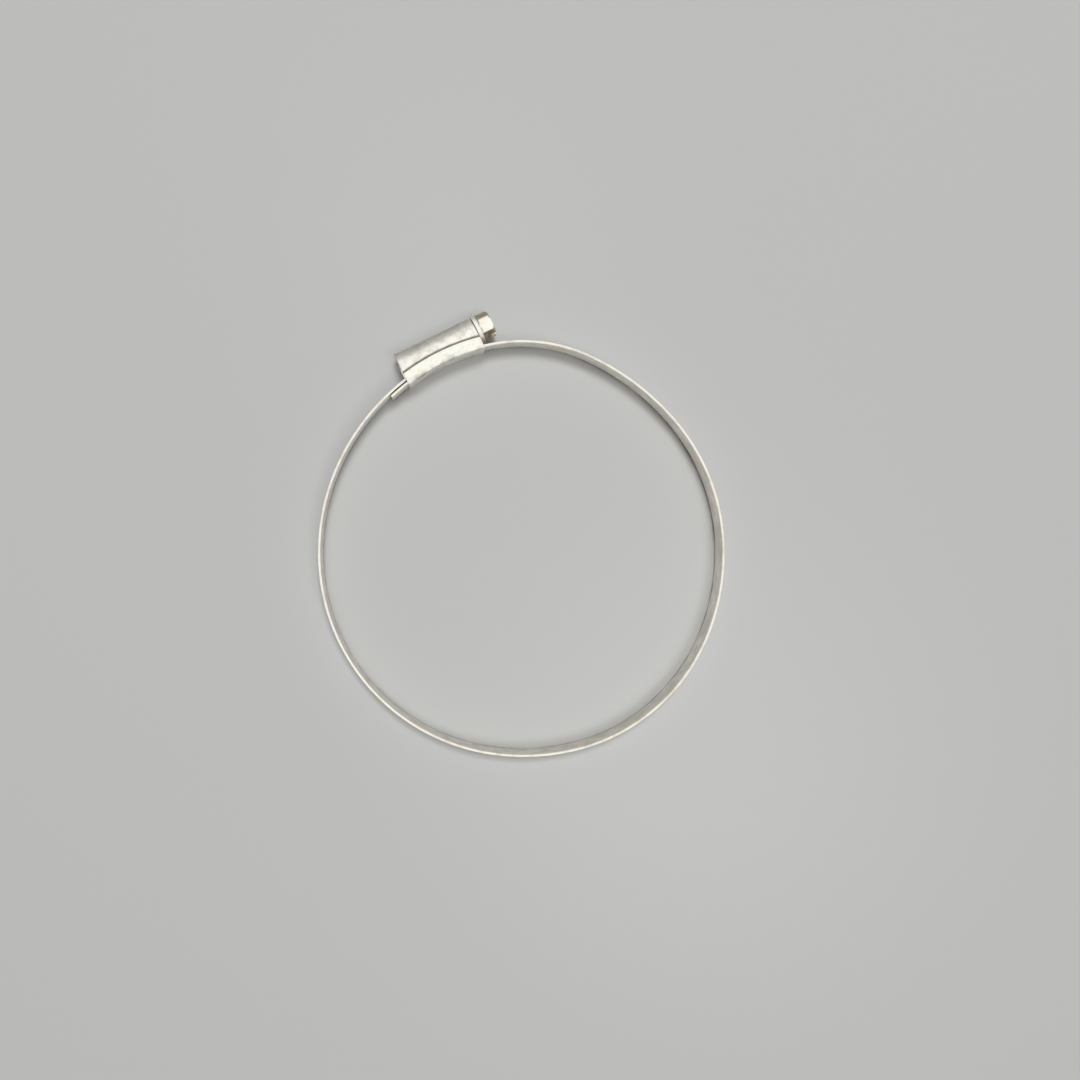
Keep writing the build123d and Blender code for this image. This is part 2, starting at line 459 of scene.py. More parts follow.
def pressedStripTree():
    # a strip swept along the loop, with slanted rounded grooves pressed into its outer face
    tree, given = newTree("Pressed strip", {
        "Section": "Object", "Pitch": "Float", "Slant": "Float", "Groove length": "Float",
        "Groove width": "Float", "Groove depth": "Float", "Shoulder": "Float",
        "Middle": "Float", "Behind": "Float", "Ahead": "Float", "Material": "Material",
    })
    path = putNode(tree, "GeometryNodeMeshToCurve")
    feed(path.inputs[0], given["Geometry"])
    upright = putNode(tree, "GeometryNodeSetCurveNormal", mode="Z_UP")
    feed(upright.inputs["Curve"], path.outputs[0])
    travelled = putNode(tree, "GeometryNodeSplineParameter").outputs["Length"]
    curve = nameField(upright.outputs[0], "along", travelled)
    outward = putNode(tree, "ShaderNodeVectorMath", operation="CROSS_PRODUCT")
    outward.inputs[0].default_value = (0, 0, 1)
    feed(outward.inputs[1], putNode(tree, "GeometryNodeInputTangent").outputs[0])
    curve = nameField(curve, "outward", outward.outputs[0], "FLOAT_VECTOR")
    sweep = sweepSection(curve, given["Section"])

    dip = grooveDip(tree, given)
    press = putNode(tree, "ShaderNodeVectorMath", operation="SCALE")
    feed(press.inputs[0], field(tree, "outward", "FLOAT_VECTOR"))
    feed(press.inputs["Scale"], times(dip, -1.0))
    move = putNode(tree, "GeometryNodeSetPosition")
    feed(move.inputs["Geometry"], sweep.outputs[0])
    feed(move.inputs["Offset"], press.outputs[0])
    strip = nameField(move.outputs[0], "dip", dip)
    endTree(strip, given["Material"])
    return tree


def endFaces(work, corners=8):
    # the two faces over a body's ends have more corners than this
    return [face for face in work.faces if len(face.verts) > corners]


def bevelEnds(mesh, width):
    # softens the sheared edges round the two end faces
    def bevel(work):
        edges = {edge for face in endFaces(work) for edge in face.edges}
        bmesh.ops.bevel(work, geom=list(edges), offset=width, segments=2, affect="EDGES",
                        profile=0.5)

    reworked(mesh, bevel)


def makeBand(material):
    plan, shape = clampPlan, bandShape
    arcs = outerArcs()
    total = sum(arc["length"] for arc in arcs)
    tipTurn = math.radians(turnOver(shape["freeEndReach"], plan["freeLayer"]))
    middle = total - plan["freeBack"] * tipTurn
    threadFrom = middle - (shape["groovesBehind"] + 1) * plan["threadPitch"]
    band = newObject("band_strip", lineMesh("band_strip", loopPoints(arcs, threadFrom)))
    section = stripSection()
    meanRadius = plan["wormRadius"] - plan["threadEngagement"] / 2
    mesh = runTree(band, pressedStripTree(), {
        "Section": section, "Pitch": plan["threadPitch"],
        "Slant": math.atan2(plan["threadPitch"], 2 * math.pi * meanRadius),
        "Groove length": shape["grooveLength"], "Groove width": shape["grooveWidth"],
        "Groove depth": shape["grooveDepth"], "Shoulder": shape["grooveShoulder"],
        "Middle": middle, "Behind": float(shape["groovesBehind"]),
        "Ahead": float(shape["groovesAhead"]), "Material": material,
    })
    bpy.data.objects.remove(section)
    bevelEnds(mesh, shape["endBevel"])
    finishMesh(mesh)
    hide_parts("band")
    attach(band, "clamp")
    print("band made,", round(total / mm), "mm of strip")


saddleShape = dict(
    outside=6.19 * mm,          # half its width over the flanks
    bendRadius=0.9 * mm,        # outside the fold
    rimRadius=0.1 * mm,         # along the flanks' upper edges
    endBevel=0.08 * mm,
    rows=48,
    longestSide=0.7 * mm,
    bendSteps=8,
)


def saddleSection():
    # x runs outwards from the hose's centre, y across the width
    shape, thick = saddleShape, clampPlan["saddleThickness"]
    base, back, top = clampPlan["boreRadius"], clampPlan["saddleBack"], clampPlan["flankTop"]
    outside, inside = shape["outside"], shape["outside"] - thick
    bend, rim = shape["bendRadius"], shape["rimRadius"]
    return roundedLoop([
        (top, outside, rim), (base, outside, bend),
        (base, -outside, bend), (top, -outside, rim),
        (top, -inside, rim), (back, -inside, bend - thick),
        (back, inside, bend - thick), (top, inside, rim),
    ], shape["bendSteps"])


def makeSaddle(material):
    # the section is carried round the hose's curve, between two upright ends
    plan, shape = clampPlan, saddleShape
    centre = plan["saddleCentre"]
    section = splitLong(saddleSection(), shape["longestSide"])
    loops = []
    for row in range(shape["rows"] + 1):
        share = 2 * row / shape["rows"] - 1
        loop = []
        for radius, across in section:
            turn = share * math.asin(plan["halfLength"] / radius)
            x = centre.x + radius * math.sin(turn)
            y = centre.y + radius * math.cos(turn)
            loop.append((x, y, across))
        loops.append(loop)
    mesh = skinLoops("folded_saddle", loops)
    bevelEnds(mesh, shape["endBevel"])
    finishMesh(mesh)
    mesh.materials.append(material)
    saddle = newObject("folded_saddle", mesh)
    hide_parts("saddle")
    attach(saddle, "clamp")
    print("saddle made")


housingShape = dict(
    thickness=0.8 * mm,         # of the shell and its end wall
    sideGap=0.25 * mm,          # beside the band
    topGap=0.1 * mm,            # over the worm
    hemRadius=0.2 * mm,
    innerRim=0.08 * mm,
    foldRadius=0.3 * mm,        # inside the saddle's folds, clear of the feet
    journalHole=2.25 * mm,      # half the width of the journal's slot
    passageGap=0.3 * mm,        # over the band, under the end wall
    wallStep=0.03 * mm,         # where the wall's foot steps up to it
    sideRows=8,
    archRows=40,
    longestSide=0.8 * mm,
    hemSteps=4,
)


def housingLoop():
    # the shell and its end wall, cut along the worm: x along it, y the arch's half-width
    plan, shape = clampPlan, housingShape
    inner = plan["bandWidth"] / 2 + shape["sideGap"]
    outer = inner + shape["thickness"]
    wall = plan["frontEnd"] - shape["thickness"]
    hem, rim, step = shape["hemRadius"], shape["innerRim"], shape["wallStep"]
    loop = roundedLoop([
        (plan["rearEnd"], outer, hem), (plan["frontEnd"], outer, hem),
        (plan["frontEnd"], inner, 0), (plan["frontEnd"], inner - step, 0),
        (plan["frontEnd"], shape["journalHole"], rim), (wall, shape["journalHole"], rim),
        (wall, inner - step, 0), (wall, inner, 0), (plan["rearEnd"], inner, rim),
    ], shape["hemSteps"])
    return splitLong(loop, shape["longestSide"]), inner


def makeHousing(material):
    # that loop is carried over the arch, from one foot to the other
    plan, shape = clampPlan, housingShape
    loop, inner = housingLoop()
    centre = plan["saddleCentre"]
    crest = plan["wormHeight"] + plan["wormRadius"] + shape["topGap"]
    archSpring, slotSpring = crest - inner, plan["wormHeight"]
    lowFoot = plan["saddleBack"] + shape["foldRadius"] + plan["seatGap"]
    highFoot = plan["freeBack"] + shape["passageGap"]

    def rowPoint(along, half, share, turn):
        # share climbs a straight side, turn runs over the arch
        sunk = max(0, inner - half) / (inner - shape["journalHole"])
        spring = archSpring + (slotSpring - archSpring) * sunk
        reach = lowFoot if half > inner - shape["wallStep"] / 2 else highFoot
        foot = centre.y + math.sqrt(reach**2 - (along - centre.x) ** 2)
        height = foot + (spring - foot) * share + half * math.sin(turn)
        return (along, height, half * math.cos(turn))

    sides = [count / shape["sideRows"] for count in range(shape["sideRows"])]
    turns = [math.pi * count / shape["archRows"] for count in range(shape["archRows"] + 1)]
    stations = [(share, 0) for share in sides] + [(1, turn) for turn in turns]
    stations += [(share, math.pi) for share in reversed(sides)]
    loops = [[rowPoint(along, half, *station) for along, half in loop] for station in stations]
    mesh = skinLoops("half_round_housing", loops)
    # each foot is a bent L, which only triangles fill cleanly
    reworked(mesh, lambda work: bmesh.ops.triangulate(work, faces=endFaces(work)))
    finishMesh(mesh)
    mesh.materials.append(material)
    housing = newObject("half_round_housing", mesh)
    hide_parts("housing")
    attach(housing, "clamp")
    print("housing made")


screwShape = dict(
    tipInset=0.8 * mm,          # inside the housing's open end
    tipRounding=0.5 * mm,
    threadDepth=0.75 * mm,
    threadRoot=1.5 * mm,        # width of the ridge where it leaves the core
    threadCrest=0.75 * mm,
    crestRadius=0.12 * mm,
    bandClearance=0.04 * mm,    # between the ridge and the band, so it can turn
    sunk=0.2 * mm,              # of the ridge, into the core
    leadIn=0.9 * mm,            # plain length at the tip, at least
    runout=1.5 * mm,            # and before the end wall
    fade=0.12,                  # turns over which the ridge rises and dies away
    leastRidge=0.1,             # its size at its very ends, as a share
    journalRadius=2.2 * mm,
    collarRadius=4.7 * mm,
    collarThickness=1.3 * mm,
    collarRounding=0.25 * mm,
    collarGap=0.25 * mm,
    acrossFlats=7.0 * mm,
    cornerRadius=3.99 * mm,     # the hexagon's corners are a little blunt
    headLength=3.9 * mm,
    crown=(0.4 * mm, 0.45 * mm),    # along the head and across it
    slotWidth=1.2 * mm,
    slotDepth=1.6 * mm,
    slotTurn=-18,
    edge=0.12 * mm,             # rounding of turned edges
    around=120,
    edgeSteps=4,
    crestSteps=3,
    stepsPerTurn=60,
)


def ridgeTree():
    # a ridge swept along a helix, dying away at both ends
    tree, given = newTree("Worm ridge", {
        "Section": "Object", "Turns": "Float", "Pitch": "Float", "Core radius": "Float",
        "Steps a turn": "Int", "Fade": "Float", "Least": "Float", "Material": "Material",
    })
    helix = putNode(tree, "GeometryNodeCurveSpiral")
    feed(helix.inputs["Resolution"], given["Steps a turn"])
    feed(helix.inputs["Rotations"], given["Turns"])
    feed(helix.inputs["Start Radius"], given["Core radius"])
    feed(helix.inputs["End Radius"], given["Core radius"])
    feed(helix.inputs["Height"], times(given["Turns"], given["Pitch"]))
    upright = putNode(tree, "GeometryNodeSetCurveNormal", mode="Z_UP")
    feed(upright.inputs["Curve"], helix.outputs[0])
    factor = putNode(tree, "GeometryNodeSplineParameter").outputs["Factor"]
    fromStart = times(factor, given["Turns"])
    fromStop = minus(given["Turns"], fromStart)
    swell = reckon("DIVIDE", smaller(fromStart, fromStop), given["Fade"])
    swell = smaller(larger(swell, given["Least"]), 1.0)
    sweep = sweepSection(upright.outputs[0], given["Section"])
    feed(sweep.inputs["Scale"], swell)
    endTree(sweep.outputs[0], given["Material"])
    return tree


def turnedBody(coreRadius, lengths):
    # worm core, journal, collar and hexagon head as rings round the worm's axis
    shape = screwShape
    tip, shoulder, collarBack, collarFront, headEnd = lengths
    edge, (crownLong, crownAcross) = shape["edge"], shape["crown"]
    collar, blunt = shape["collarRadius"], shape["cornerRadius"]
    journal = shape["journalRadius"]
    outline = roundedLoop([
        (tip, 0, 0), (tip, coreRadius, shape["tipRounding"]),
        (shoulder, coreRadius, edge), (shoulder, journal, 0),
        (collarBack, journal, 0), (collarBack, collar, edge),
        (collarFront, collar, shape["collarRounding"]), (collarFront, blunt, 0),
        (headEnd - crownLong, blunt, 0), (headEnd, blunt - crownAcross, 0), (headEnd, 0, 0),
    ], shape["edgeSteps"])
    flat = shape["acrossFlats"] / 2
    hair = 0.001 * mm   # rounding error
    rings = []
    for x, radius in outline[1:-1]:
        pastCollar = x > collarFront + hair
        onCollarFace = abs(x - collarFront) <= hair and radius < blunt + hair
        ring = []
        for count in range(shape["around"]):
            turn = 2 * math.pi * count / shape["around"]
            fromFlat = turn % (math.pi / 3) - math.pi / 6   # a flat faces +Z
            reach = radius
            if pastCollar or onCollarFace:
                reach = min(radius, flat / math.cos(fromFlat))
            ring.append((x, reach * math.cos(turn), reach * math.sin(turn)))
        rings.append(ring)
    return skinLoops("worm_screw_body", rings)


def joined(first, second, operation):
    # one closed mesh out of two
    modifier = first.modifiers.new("join", "BOOLEAN")
    modifier.operation = operation
    modifier.solver = "EXACT"
    modifier.object = second
    appliedMesh(first)
    bpy.data.objects.remove(second)


def makeThread(material, start, turns, coreRadius):
    # the ridge, laid along X from its start
    plan, shape = clampPlan, screwShape
    depth = shape["threadDepth"] - plan["threadEngagement"] - shape["bandClearance"]
    root = shape["threadRoot"] / 2
    crest = root - (root - shape["threadCrest"] / 2) * depth / shape["threadDepth"]
    ridge = roundedLoop([
        (shape["sunk"], -root, 0), (0, -root, 0), (-depth, -crest, shape["crestRadius"]),
        (-depth, crest, shape["crestRadius"]), (0, root, 0), (shape["sunk"], root, 0),
    ], shape["crestSteps"])
    points = [point.to_3d() for point in ridge]
    section = newObject("ridge section", lineMesh("ridge section", points, closed=True))
    thread = newObject("thread", bpy.data.meshes.new("thread"))
    mesh = runTree(thread, ridgeTree(), {
        "Section": section, "Turns": turns, "Pitch": plan["threadPitch"],
        "Core radius": coreRadius, "Steps a turn": shape["stepsPerTurn"],
        "Fade": shape["fade"], "Least": shape["leastRidge"], "Material": material,
    })
    bpy.data.objects.remove(section)
    finishMesh(mesh)
    # the helix stands on Z and starts on X: both turn so that the worm lies along X
    mesh.transform(Matrix(((0, 0, 1, start), (1, 0, 0, 0), (0, 1, 0, 0), (0, 0, 0, 1))))
    return thread


def slotCutter(headEnd):
    shape = screwShape
    bpy.ops.mesh.primitive_cube_add(size=1)
    cutter = bpy.context.object
    across = Matrix.Rotation(math.radians(shape["slotTurn"]), 4, "X")
    bar = (2 * shape["slotDepth"], 2 * shape["acrossFlats"], shape["slotWidth"], 1)
    cutter.data.transform(Matrix.Translation((headEnd, 0, 0)) @ across @ Matrix.Diagonal(bar))
    return cutter


def makeScrew(material):
    plan, shape = clampPlan, screwShape
    coreRadius = plan["wormRadius"] - shape["threadDepth"]
    half, pitch = plan["halfLength"], plan["threadPitch"]
    wallInside = half - housingShape["thickness"]
    tip = shape["tipInset"] - half
    shoulder = wallInside - shape["collarGap"]
    collarBack = half + shape["collarGap"]
    collarFront = collarBack + shape["collarThickness"]
    headEnd = collarFront + shape["headLength"]
    body = turnedBody(coreRadius, (tip, shoulder, collarBack, collarFront, headEnd))
    body.materials.append(material)
    screw = newObject("worm_screw_turned", body)

    turnsBefore = math.floor(-(tip + shape["leadIn"]) / pitch - 0.5)
    threadStart = -pitch * (turnsBefore + 0.5)   # a ridge faces the band at the middle
    halfTurns = math.floor(2 * (wallInside - shape["runout"] - threadStart) / pitch)
    joined(screw, makeThread(material, threadStart, halfTurns / 2, coreRadius), "UNION")
    joined(screw, slotCutter(headEnd), "DIFFERENCE")
    screw.data.transform(Matrix.Translation((plan["housingOffset"], plan["wormHeight"], 0)))
    finishMesh(screw.data)
    while screw.data.uv_layers:     # left over from the cutter
        screw.data.uv_layers.remove(screw.data.uv_layers[0])
    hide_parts("worm_screw")
    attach(screw, "screw")
    print("screw made,", halfTurns / 2, "turns of thread")


def noise(vector, scale, detail=3.0, roughness=0.55):
    node = putNode(vector.id_data, "ShaderNodeTexNoise")
    feed(node.inputs["Vector"], vector)
    node.inputs["Scale"].default_value = scale
    node.inputs["Detail"].default_value = detail
    node.inputs["Roughness"].default_value = roughness
    return node.outputs[0]


def rise(value, low, high, top=1.0):
    # 0 at low, top at high, smooth between; low may be the larger of the two
    node = putNode(value.id_data, "ShaderNodeMapRange", interpolation_type="SMOOTHSTEP")
    feed(node.inputs["Value"], value)
    node.inputs["From Min"].default_value = low
    node.inputs["From Max"].default_value = high
    node.inputs["To Max"].default_value = top
    return node.outputs[0]


def near(value, level, offsets):
    # a rise whose two ends are given as offsets from a level
    return rise(value, level + offsets[0], level + offsets[1])


def patches(at, scale, start, full, most=1.0, roughness=0.55):
    # blotches that begin where the noise passes start, and are all there at full
    return rise(noise(at, scale, roughness=roughness), start, full, most)


def tint(share, first, second):
    node = putNode(share.id_data, "ShaderNodeMix", data_type="RGBA")
    feed(node.inputs["Factor"], share)
    for socket, value in ((node.inputs[6], first), (node.inputs[7], second)):
        feed(socket, (*value, 1) if isinstance(value, tuple) else value)
    return node.outputs[2]


def kept(tree, label):
    # a value that the mesh carries
    return putNode(tree, "ShaderNodeAttribute", attribute_name=label).outputs["Fac"]


def stretched(lengthwise, first, second, look):
    # coordinates in which noise turns into lines that run lengthwise
    node = putNode(lengthwise.id_data, "ShaderNodeCombineXYZ")
    feed(node.inputs[0], times(lengthwise, look["grainAlong"]))
    feed(node.inputs[1], times(first, look["grainAcross"]))
    feed(node.inputs[2], times(second, look["grainAcross"]))
    return node.outputs[0]


def distance(first, second):
    return reckon("SQRT", squares(first, second))


anySteel = dict(
    mottleGrit=(4.0, 0.6),      # detail and roughness of each pattern's noise
    cloudGrit=(3.0, 0.6),
    fleckGrit=(2.0, 0.7),
    grainGrit=(4.0, 0.65),
    dentGrit=(1.0, 0.4),
    fleckScale=900,
    fleckFrom=(0.70, 0.82), fleckMost=0.5,
    grainFrom=(0.35, 0.75),     # where the lines darken the steel,
    grainRoughFrom=(0.4, 0.8), grainRough=0.06,     # and where they roughen it
    grainDepth=0.003 * mm,
    mottleRoughFrom=(0.35, 0.7),
    grimeAndShadeRough=0.3,
)


def wornSteel(name, look, build):
    # cloudy tones, stains, fine lines and shallow dents; build adds what only this piece has
    material = bpy.data.materials.new(name)
    material.use_nodes = True
    tree = material.node_tree
    shader = tree.nodes["Principled BSDF"]
    shader.inputs["Metallic"].default_value = 1.0
    at = putNode(tree, "ShaderNodeTexCoord").outputs["Object"]
    own = build(look, at)

    mottle = noise(at, look["mottleScale"], *look["mottleGrit"])
    cloud = noise(at, look["cloudScale"], *look["cloudGrit"])
    fleck = noise(at, look["fleckScale"], *look["fleckGrit"])
    grain = noise(own["grain"], 1.0, *look["grainGrit"])
    dents = noise(at, look["dentScale"], *look["dentGrit"])

    colour = tint(rise(mottle, *look["mottleFrom"]), look["light"], look["grey"])
    stained = rise(cloud, *look["stainFrom"], look["stainMost"])
    colour = tint(stained, colour, look["stainAndShade"])
    lined = rise(grain, *look["grainFrom"], look["grainTone"])
    colour = tint(lined, colour, look["grey"])
    flecked = rise(fleck, *look["fleckFrom"], look["fleckMost"])
    colour = tint(flecked, colour, look["grimeAndShade"])
    # dulled patches, in part painted shade, take the stain colour
    if "dulledAndShaded" in own:
        colour = tint(own["dulledAndShaded"], colour, look["stainAndShade"])
    colour = tint(own["bright"], colour, look["bright"])
    # dirt, and painted shade where a piece's own mask puts it
    colour = tint(own["grimeAndShade"], colour, look["grimeAndShade"])
    feed(shader.inputs["Base Color"], colour)

    low, high = look["roughness"]
    rough = plus(low, rise(mottle, *look["mottleRoughFrom"], high - low))
    rough = plus(rough, rise(grain, *look["grainRoughFrom"], look["grainRough"]))
    rough = plus(rough, times(own["grimeAndShade"], look["grimeAndShadeRough"]))
    if "smooth" in own:
        rough = plus(rough, times(own["smooth"], look["rimRough"]))
    feed(shader.inputs["Roughness"], rough)

    height = times(dents, look["dentDepth"])
    height = plus(height, times(grain, look["grainDepth"]))
    height = plus(height, times(mottle, look["mottleDepth"]))
    bump = putNode(tree, "ShaderNodeBump")
    bump.inputs["Strength"].default_value = 1.0
    bump.inputs["Distance"].default_value = 1.0
    feed(bump.inputs["Height"], height)
    feed(shader.inputs["Normal"], bump.outputs[0])
    return material


bandSteel = dict(
    anySteel,
    # grime also colours the painted contact shade along the lower rim
    light=(0.90, 0.87, 0.80), grey=(0.70, 0.685, 0.64), stainAndShade=(0.70, 0.57, 0.47),
    bright=(0.89, 0.855, 0.785), grimeAndShade=(0.15, 0.115, 0.085),
    mottleScale=210, mottleFrom=(0.38, 0.64), mottleDepth=0.006 * mm,
    cloudScale=95, stainFrom=(0.50, 0.68), stainMost=0.6,
    grainAlong=45, grainAcross=900, grainTone=0.85,
    dentScale=120, dentDepth=0.05 * mm,
    roughness=(0.56, 0.68),
    rimRough=-0.26,                          # smoother along the rims
    rimWear=dict(scale=350, start=0.32, full=0.60),
    grooveDirt=(0.05 * mm, 0.4 * mm, 0.75),  # by depth, and the most of it
    grooveCaked=dict(scale=500, start=0.3, full=0.62),
    # dirt, and painted contact shade, along the lower rim
    footDirtAndShade=(-3.55 * mm, -4.25 * mm, 0.8),  # by height
    footSoiledAndShade=dict(scale=130, start=0.35, full=0.6),
)


def bandDetail(look, at):
    # bright smooth rims, dirt left in the pressed thread, and dirt with painted contact shade
    # along the lower rim
    tree, z = at.id_data, axes(at)["Z"]
    rim = kept(tree, "rim")
    bright = times(rim, patches(at, **look["rimWear"]))
    groove = rise(kept(tree, "dip"), *look["grooveDirt"])
    groove = times(groove, patches(at, **look["grooveCaked"]))
    # the lower rim is darkened: dirt, and painted contact shade
    foot = rise(z, *look["footDirtAndShade"])
    foot = times(foot, patches(at, **look["footSoiledAndShade"]))
    grain = stretched(kept(tree, "along"), z, kept(tree, "inset"), look)
    return dict(grain=grain, bright=bright, grimeAndShade=larger(groove, foot), smooth=rim)


saddleSteel = dict(
    anySteel,
    light=(0.96, 0.94, 0.87), grey=(0.77, 0.755, 0.70), stainAndShade=(0.62, 0.58, 0.51),
    bright=(0.93, 0.91, 0.85), grimeAndShade=(0.14, 0.12, 0.10),
    mottleScale=560, mottleFrom=(0.46, 0.68), mottleDepth=0.008 * mm,
    cloudScale=210, stainFrom=(0.56, 0.74), stainMost=0.35,
    grainAlong=90, grainAcross=5000, grainTone=0.35,
    dentScale=200, dentDepth=0.08 * mm,
    roughness=(0.30, 0.42),
    edgeRub=(-0.25 * mm, -0.05 * mm),        # from the flanks' upper edges
    edgeWear=dict(scale=600, start=0.35, full=0.6),
    foldDirt=(1.8 * mm, 0.7 * mm),           # from the saddle's inner face
    foldSoiled=dict(scale=260, start=0.45, full=0.7, most=0.35),
)


def saddleDetail(look, at):
    # polished along the flanks' upper edges, a little soiled near the folds
    x, y, z = axes(at)
    centre = clampPlan["saddleCentre"]
    offX, offY = minus(x, centre.x), minus(y, centre.y)
    radius = distance(offX, offY)
    arc = times(reckon("ARCTAN2", offX, offY), clampPlan["boreRadius"])
    edge = near(radius, clampPlan["flankTop"], look["edgeRub"])
    edge = times(edge, patches(at, **look["edgeWear"]))
    fold = near(radius, clampPlan["boreRadius"], look["foldDirt"])
    fold = times(fold, patches(at, **look["foldSoiled"]))
    return dict(grain=stretched(arc, radius, z, look), bright=edge, grimeAndShade=fold)


housingSteel = dict(
    anySteel,
    # stain also colours the crest's painted shade, and grime the seam's painted shade
    light=(0.95, 0.925, 0.865), grey=(0.74, 0.725, 0.68), stainAndShade=(0.52, 0.475, 0.41),
    bright=(0.93, 0.91, 0.85), grimeAndShade=(0.14, 0.12, 0.10),
    mottleScale=520, mottleFrom=(0.44, 0.68), mottleDepth=0.008 * mm,
    cloudScale=150, stainFrom=(0.56, 0.74), stainMost=0.3,
    grainAlong=90, grainAcross=5000, grainTone=0.35,
    dentScale=200, dentDepth=0.08 * mm,
    roughness=(0.30, 0.42),
    # the seam's dark line is painted shade, with some dirt
    seamWidth=0.55 * mm, seamSoft=0.5 * mm, seamTone=0.8,
    seamRagged=0.25 * mm, raggedScale=800,
    seamSides=(4.9 * mm, 5.1 * mm),          # only this far out, on the outer face
    crestWidth=(4.4 * mm, 2.8 * mm),         # half of it, and half its darkest part
    # patchy darkening at the crest: smudges, and painted shade
    crestSmudgeAndShade=dict(scale=160, start=0.30, full=0.62, most=0.8, roughness=0.6),
    hemRub=(-0.35 * mm, -0.1 * mm),          # from the housing's two ends
    hemWear=dict(scale=500, start=0.35, full=0.6, most=0.8),
)


def housingDetail(look, at):
    # a dark line of painted shade and dirt where the saddle's flanks end, a crest darkened by
    # smudges and painted shade, rubbed ends
    x, y, z = axes(at)
    centre = clampPlan["saddleCentre"]
    radius = distance(minus(x, centre.x), minus(y, centre.y))
    # painted shade, with some dirt, along the step where the saddle's flanks end
    ragged = times(noise(at, look["raggedScale"]), look["seamRagged"])
    edge = clampPlan["flankTop"] + look["seamWidth"]
    seam = near(plus(radius, ragged), edge, (look["seamSoft"], 0))
    aside = reckon("ABSOLUTE", z)
    seam = times(seam, rise(aside, *look["seamSides"]))
    seam = times(seam, look["seamTone"])
    # darker in patches towards the crest: smudges, and painted shade
    crest = rise(aside, *look["crestWidth"])
    crest = times(crest, patches(at, **look["crestSmudgeAndShade"]))
    along = reckon("ABSOLUTE", minus(x, clampPlan["housingOffset"]))
    ends = near(along, clampPlan["halfLength"], look["hemRub"])
    ends = times(ends, patches(at, **look["hemWear"]))
    return dict(grain=stretched(x, y, z, look), bright=ends, grimeAndShade=seam, dulledAndShaded=crest)


screwZinc = dict(
    anySteel,
    # stain also colours the painted shade on the head's side flats, and grime the painted shade
    # round the collar
    light=(0.88, 0.85, 0.77), grey=(0.76, 0.73, 0.65), stainAndShade=(0.38, 0.28, 0.18),
    bright=(0.95, 0.93, 0.87), grimeAndShade=(0.15, 0.105, 0.065),
    mottleScale=500, mottleFrom=(0.38, 0.64), mottleDepth=0.006 * mm,
    cloudScale=230, stainFrom=(0.50, 0.68), stainMost=0.6,
    grainAlong=40, grainAcross=6000, grainTone=0.3,
    dentScale=300, dentDepth=0.05 * mm,
    roughness=(0.26, 0.42),
    grainRadius=4.0 * mm,                    # where the turning lines have their length
    wormSoiled=(0.5 * mm, 0),                # from the housing's front end inwards,
    rootDirt=(2.9 * mm, 2.4 * mm, 0.6),      # by radius, and the most of it
    # dirt, and painted shade, in the corner at the collar's face
    collarDirtAndShade=((-0.2 * mm, 0.02 * mm), (0.7 * mm, 0.1 * mm)),  # from the collar's face
    collarSoiledAndShade=dict(scale=600, start=0.35, full=0.6, most=0.7),
    headFrom=(-0.1 * mm, 0.1 * mm),          # from the same face
    # painted shade on the four flats that don't face along Z, and a painted highlight on the
    # two that do
    shadedSides=(3.45 * mm, 3.30 * mm),     # all but the two flats that face along Z
    sideShadePatches=dict(scale=380, start=0.30, full=0.66, most=0.9),
    cornerRub=(3.75 * mm, 4.0 * mm, 0.6),    # by radius
    litFlats=(3.40 * mm, 3.48 * mm, 0.8),   # by distance from the middle plane
    slotSides=(0.12 * mm, 0.02 * mm),        # from its walls,
    slotFloor=(-0.1 * mm, 0.1 * mm),         # and from its floor
)


def screwDetail(look, at):
    # turning lines run round the worm's axis; dirt sits in the thread, and dirt with painted
    # shade round the collar
    shape = screwShape
    x, y, z = axes(at)
    down = minus(y, clampPlan["wormHeight"])
    radius = distance(down, z)
    aside = reckon("ABSOLUTE", z)
    turn = times(reckon("ARCTAN2", z, down), look["grainRadius"])
    grain = stretched(turn, x, radius, look)
    front = clampPlan["frontEnd"]
    thread = near(x, front, look["wormSoiled"])
    thread = times(thread, rise(radius, *look["rootDirt"]))
    collarFront = front + shape["collarGap"] + shape["collarThickness"]
    # dirt, and painted shade, in the corner between the collar and the head
    before, after = look["collarDirtAndShade"]
    corner = times(near(x, collarFront, before), near(x, collarFront, after))
    corner = times(corner, patches(at, **look["collarSoiledAndShade"]))

    # a painted highlight on the two flats that face along Z, and patchy brownish painted shade
    # on the other four
    onHead = near(x, collarFront, look["headFrom"])
    dulledAndShaded = times(rise(aside, *look["shadedSides"]), onHead)
    dulledAndShaded = times(dulledAndShaded, patches(at, **look["sideShadePatches"]))
    litFlatMask = times(rise(aside, *look["litFlats"]), onHead)
    bright = larger(rise(radius, *look["cornerRub"]), litFlatMask)

    # the slot is cut through the plating to bare metal, and its walls carry a painted highlight
    # too
    lean = math.radians(shape["slotTurn"])
    off = plus(times(down, -math.sin(lean)), times(z, math.cos(lean)))
    off = reckon("ABSOLUTE", off)
    slot = near(off, shape["slotWidth"] / 2, look["slotSides"])
    slotFloor = collarFront + shape["headLength"] - shape["slotDepth"]
    slot = times(slot, near(x, slotFloor, look["slotFloor"]))
    bright = larger(bright, slot)
    return dict(grain=grain, bright=bright, grimeAndShade=larger(thread, corner), dulledAndShaded=dulledAndShaded)


cameraView = dict(
    place=(-20.34 * mm, 25.19 * mm, 340 * mm),
    aimsAt=(6.12 * mm, 1.37 * mm, 0),
    turn=26.4,                  # of the view's up, clockwise from +Y
    lens=38.16,
    sensor=36,
    clipStart=5 * mm,
)


